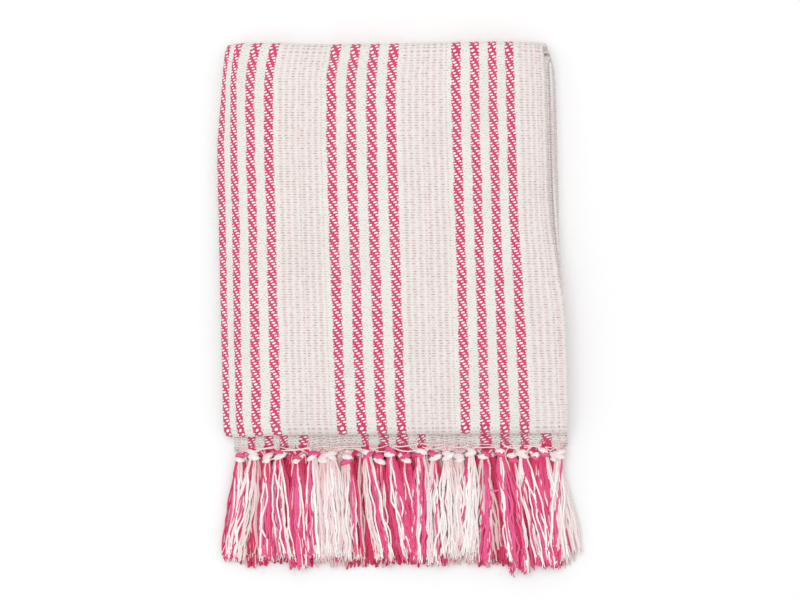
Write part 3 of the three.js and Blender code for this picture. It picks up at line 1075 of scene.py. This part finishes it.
# How finely the yarns are made, in the rows that show and in the hidden ones
SHOWN_YARN = {"Step": 5 * MM, "Sides": 6}
HIDDEN_YARN = {"Step": 9 * MM, "Sides": 4}

# The shares of a yarn's wobble that go across the stack, along it and up
WOBBLE_WAYS = (2.4, 1.0, 0.7)

# The twist of the yarn's three plies
PLY_PITCH = 3.4


def tree_input(tree, name, kind, value=None):
    """A named input of a node tree, with the value that it has where none is set."""
    socket = tree.interface.new_socket(name, in_out="INPUT", socket_type=kind)
    if value is not None:
        socket.default_value = value


def yarn_tree(material):
    """Geometry Nodes that turn paths into round yarns, each a little loose along its way."""
    tree = bpy.data.node_groups.new("cotton yarn", "GeometryNodeTree")
    tree_input(tree, "Paths", "NodeSocketGeometry")
    tree_input(tree, "Yarn Radius", "NodeSocketFloat", YARN_RADIUS * MM)
    tree_input(tree, "Step", "NodeSocketFloat", SHOWN_YARN["Step"])
    tree_input(tree, "Sides", "NodeSocketInt", SHOWN_YARN["Sides"])
    tree_input(tree, "Wobble", "NodeSocketFloat", 4.4 * MM)
    tree_input(tree, "Wobble Length", "NodeSocketFloat", 24 * MM)
    tree_input(tree, "Seed", "NodeSocketFloat", 4.0)
    tree.interface.new_socket("Yarns", in_out="OUTPUT", socket_type="NodeSocketGeometry")
    nodes = tree.nodes
    link = tree.links.new

    def add(kind, **settings):
        node = nodes.new(kind)
        for name, value in settings.items():
            setattr(node, name, value)
        return node

    def named(name):
        node = add("GeometryNodeInputNamedAttribute", data_type="FLOAT")
        node.inputs["Name"].default_value = name
        return node.outputs["Attribute"]

    given = add("NodeGroupInput")
    smooth_path = add("GeometryNodeCurveSplineType", spline_type="CATMULL_ROM")
    to_curve = add("GeometryNodeMeshToCurve")
    link(given.outputs["Paths"], to_curve.inputs["Mesh"])
    link(to_curve.outputs["Curve"], smooth_path.inputs["Curve"])
    resample = add("GeometryNodeResampleCurve", mode="LENGTH")
    link(smooth_path.outputs["Curve"], resample.inputs["Curve"])
    link(given.outputs["Step"], resample.inputs["Length"])

    measure = add("GeometryNodeSplineParameter")
    keep_along = add("GeometryNodeStoreNamedAttribute", data_type="FLOAT", domain="POINT")
    keep_along.inputs["Name"].default_value = "along"
    link(resample.outputs["Curve"], keep_along.inputs["Geometry"])
    link(measure.outputs["Length"], keep_along.inputs["Value"])

    way = Signal(tree, measure.outputs["Length"]) / Signal(tree, given.outputs["Wobble Length"])
    where = add("ShaderNodeCombineXYZ")
    link(way.socket, where.inputs[0])
    link((Signal(tree, named("number")) * 3.7).socket, where.inputs[1])
    link(given.outputs["Seed"], where.inputs[2])
    drift = add("ShaderNodeTexNoise")
    drift.inputs["Scale"].default_value = 1.0
    drift.inputs["Detail"].default_value = 1.0
    link(where.outputs[0], drift.inputs["Vector"])
    centred = add("ShaderNodeVectorMath", operation="SUBTRACT")
    link(drift.outputs["Color"], centred.inputs[0])
    centred.inputs[1].default_value = (0.5, 0.5, 0.5)
    flatter = add("ShaderNodeVectorMath", operation="MULTIPLY")
    link(centred.outputs[0], flatter.inputs[0])
    flatter.inputs[1].default_value = WOBBLE_WAYS
    amount = Signal(tree, named("loose")) * Signal(tree, given.outputs["Wobble"])
    scaled = add("ShaderNodeVectorMath", operation="SCALE")
    link(flatter.outputs[0], scaled.inputs[0])
    link(amount.socket, scaled.inputs["Scale"])
    move = add("GeometryNodeSetPosition")
    link(keep_along.outputs["Geometry"], move.inputs["Geometry"])
    link(scaled.outputs[0], move.inputs["Offset"])

    circle = add("GeometryNodeCurvePrimitiveCircle", mode="RADIUS")
    link(given.outputs["Sides"], circle.inputs["Resolution"])
    link(given.outputs["Yarn Radius"], circle.inputs["Radius"])
    place = add("GeometryNodeInputPosition")
    turned = add("ShaderNodeVectorMath", operation="NORMALIZE")
    link(place.outputs[0], turned.inputs[0])
    keep_round = add("GeometryNodeStoreNamedAttribute", data_type="FLOAT_VECTOR", domain="POINT")
    keep_round.inputs["Name"].default_value = "round"
    link(circle.outputs["Curve"], keep_round.inputs["Geometry"])
    link(turned.outputs[0], keep_round.inputs["Value"])

    skin = add("GeometryNodeCurveToMesh")
    link(move.outputs["Geometry"], skin.inputs["Curve"])
    link(keep_round.outputs["Geometry"], skin.inputs["Profile Curve"])
    link(named("thick"), skin.inputs["Scale"])
    skin.inputs["Fill Caps"].default_value = True
    shade = add("GeometryNodeSetShadeSmooth")
    link(skin.outputs["Mesh"], shade.inputs["Geometry"])
    realize = add("GeometryNodeRealizeInstances")
    link(shade.outputs["Geometry"], realize.inputs["Geometry"])
    finish = add("GeometryNodeSetMaterial")
    link(realize.outputs["Geometry"], finish.inputs["Geometry"])
    finish.inputs["Material"].default_value = material
    out = add("NodeGroupOutput")
    link(finish.outputs["Geometry"], out.inputs["Yarns"])
    return tree


def spin_yarns(name, paths, tree, material, **sizes):
    """A piece with the yarns that the tree makes of these paths, as a plain mesh."""
    piece = new_object(name, paths)
    modifier = piece.modifiers.new("yarns", "NODES")
    modifier.node_group = tree
    for item in tree.interface.items_tree:
        if item.name in sizes:
            modifier[item.identifier] = sizes[item.name]
    bpy.context.view_layer.update()
    whole = piece.evaluated_get(bpy.context.evaluated_depsgraph_get())
    mesh = bpy.data.meshes.new_from_object(whole)
    piece.modifiers.remove(modifier)
    piece.data = mesh
    if not mesh.materials:
        mesh.materials.append(material)
    return piece


def yarn_material():
    """Loose cotton yarn of three plies, dyed as its dye attribute says, darkened by painted shade.
    """
    material, tree, shader = cotton_material("cotton yarn")

    def named(name, output):
        node = tree.nodes.new("ShaderNodeAttribute")
        node.attribute_name = name
        return node.outputs[output]

    dye = Signal(tree, named("dye", "Fac"))
    number = Signal(tree, named("number", "Fac"))
    along = Signal(tree, named("along", "Fac")) * MM_IN_METRE
    split = tree.nodes.new("ShaderNodeSeparateXYZ")
    tree.links.new(named("round", "Vector"), split.inputs[0])
    angle = Signal(tree, split.outputs[1]).math("ARCTAN2", Signal(tree, split.outputs[0]))
    plies = (along * (2 * math.pi / PLY_PITCH) + angle).cosine()
    where = tree.nodes.new("ShaderNodeCombineXYZ")
    tree.links.new((along / 9).socket, where.inputs[0])
    tree.links.new((angle * 0.8).socket, where.inputs[1])
    tree.links.new((number * 2.3).socket, where.inputs[2])
    fibre = noise(tree, where.outputs[0], 2.2, detail=3.0)
    own = random_of(tree, (number + 0.5).floor())
    # Painted shade, from each yarn's place in its pile and near its knot
    darkening = Signal(tree, named("darkening", "Fac"))
    # The pink goes deep with painted shade, and with each yarn's own random tone
    pink = blend_colours((own * 0.3 + darkening * 0.7).least(1.0), YARN_PINK, YARN_PINK_DEEP)
    white = blend_colours(darkening * 0.62, YARN_WHITE, YARN_WHITE_SHADED)
    colour = blend_colours(dye, white, pink)
    # Painted shade in the grooves between the plies, and random darker fibres
    shade = (plies.between(-0.2, -1.0) * 0.1).most(fibre.between(0.4, 0.75) * 0.16)
    colour = blend_colours(shade, colour, CLOTH_SHADE)
    tree.links.new(colour, shader.inputs["Base Color"])
    add_bump(tree, shader, plies * 0.4 + fibre, 0.35 * MM, 0.5)
    return material


# The camera looks straight down at the photograph's middle. This width of the stack's top
# fills the picture.
PICTURE_WIDTH = 0.765
LOOK_AT = (0.0001, 0.0067)
TOP_HEIGHT = 0.036
CAMERA_HEIGHT = 2.4
SENSOR = 36.0


def make_camera():
    camera = bpy.data.cameras.new("Camera")
    camera.sensor_width = SENSOR
    camera.lens = SENSOR * (CAMERA_HEIGHT - TOP_HEIGHT) / PICTURE_WIDTH
    camera.clip_end = 20
    stand = new_object("Camera", camera)
    stand.location = (*LOOK_AT, CAMERA_HEIGHT)
    bpy.context.scene.camera = stand


FLOOR_SIZE = 8.0
PAPER_WHITE = (0.86, 0.86, 0.86, 1)
SKY_STRENGTH = 0.95
LAMP_WATTS = 12
LAMP_SIZE = 1.5
LAMP_AT = Vector((-0.35, 0.4, 1.9))


def make_studio():
    """A white floor under a white sky, with one large soft lamp from the back left."""
    half = FLOOR_SIZE / 2
    mesh = bpy.data.meshes.new("floor")
    corners = [(-half, -half, 0), (half, -half, 0), (half, half, 0), (-half, half, 0)]
    mesh.from_pydata(corners, [], [(0, 1, 2, 3)])
    floor = new_object("floor", mesh)
    paper = bpy.data.materials.new("white paper")
    paper.use_nodes = True
    shader = paper.node_tree.nodes["Principled BSDF"]
    shader.inputs["Base Color"].default_value = PAPER_WHITE
    shader.inputs["Roughness"].default_value = 1.0
    shader.inputs["Specular IOR Level"].default_value = 0.0
    mesh.materials.append(paper)

    scene = bpy.context.scene
    world = bpy.data.worlds.new("white sky")
    world.use_nodes = True
    sky = world.node_tree.nodes["Background"]
    sky.inputs["Color"].default_value = (1, 1, 1, 1)
    sky.inputs["Strength"].default_value = SKY_STRENGTH
    scene.world = world
    scene.view_settings.view_transform = "Standard"

    lamp = bpy.data.lights.new("softbox", "AREA")
    lamp.shape = "DISK"
    lamp.size = LAMP_SIZE
    lamp.energy = LAMP_WATTS
    stand = new_object("softbox", lamp)
    stand.location = LAMP_AT
    stand.rotation_mode = "QUATERNION"
    stand.rotation_quaternion = (-LAMP_AT).to_track_quat("-Z", "Y")


make_camera()
make_studio()

cloth = new_object("woven_cloth", cloth_mesh())
cloth.data.materials.append(weave_material())
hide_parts("folded_cloth")
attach(cloth, "root")

yarn_cotton = yarn_material()
yarns_of_paths = yarn_tree(yarn_cotton)
for seed, (name, row) in enumerate(FRINGE_ROWS.items(), FIRST_SEED):
    fineness = SHOWN_YARN if row.shows else HIDDEN_YARN
    paths = row_paths(row, seed)
    tassels = spin_yarns(name, paths, yarns_of_paths, yarn_cotton, **fineness)
    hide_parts(name.split("_")[0] + "_fringe")
    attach(tassels, "root")
